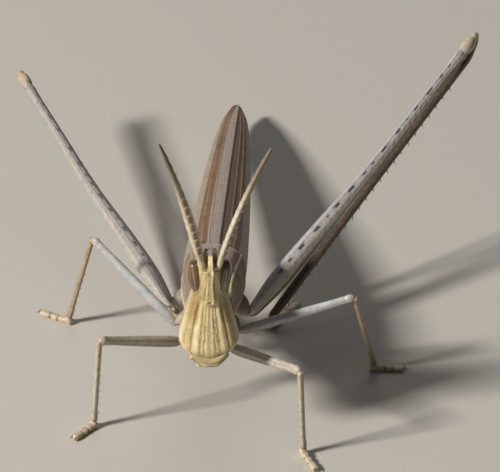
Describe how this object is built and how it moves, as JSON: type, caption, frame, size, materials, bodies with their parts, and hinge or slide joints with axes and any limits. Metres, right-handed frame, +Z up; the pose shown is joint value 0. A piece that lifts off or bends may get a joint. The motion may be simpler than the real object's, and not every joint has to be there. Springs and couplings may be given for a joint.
{
  "type": "slant-faced grasshopper",
  "caption": "Cone-headed, slant-faced grasshopper standing on its feet, with sword-shaped feelers, folded wings and long raised hind legs, as a still life-size model.",
  "frame": {"origin": "on the floor under the middle of the whole outline", "axes": "+Z up from the floor, the head points along -Y and the wing tips along +Y, the insect's own left side is at +X"},
  "size_m": [0.047, 0.0686, 0.0364],
  "materials": {
    "face": "satin golden tan chitin with fine ridges and brown grooves",
    "eye": "glossy brown with dark lengthwise lines",
    "feeler": "matt beige with darker joints",
    "body": "finely pitted brown chitin with pale keels",
    "wing": "parchment-like, brown and grey stripes with raised veins",
    "belly": "satin pale tan plates",
    "leg": "satin grey beige chitin with dark spots on the hind thighs"
  },
  "bodies": {
    "root": {"head": "face", "labrum": "face", "mandible_left": "face", "mandible_right": "face", "eye_left": "eye", "eye_right": "eye", "antenna_left": "feeler", "antenna_right": "feeler", "palp_left": "feeler", "palp_right": "feeler", "pronotum": "body", "thorax": "belly", "abdomen": "belly", "ovipositor_upper": "belly", "ovipositor_lower": "belly", "cercus_left": "belly", "cercus_right": "belly", "forewing_left": "wing", "forewing_right": "wing", "fore_coxa_left": "leg", "fore_femur_left": "leg", "fore_tibia_left": "leg", "fore_tarsus_left": "leg", "fore_coxa_right": "leg", "fore_femur_right": "leg", "fore_tibia_right": "leg", "fore_tarsus_right": "leg", "mid_coxa_left": "leg", "mid_femur_left": "leg", "mid_tibia_left": "leg", "mid_tarsus_left": "leg", "mid_coxa_right": "leg", "mid_femur_right": "leg", "mid_tibia_right": "leg", "mid_tarsus_right": "leg", "hind_coxa_left": "leg", "hind_femur_left": "leg", "hind_tibia_left": "leg", "hind_tarsus_left": "leg", "hind_coxa_right": "leg", "hind_femur_right": "leg", "hind_tibia_right": "leg", "hind_tarsus_right": "leg"}
  },
  "joints": []
}
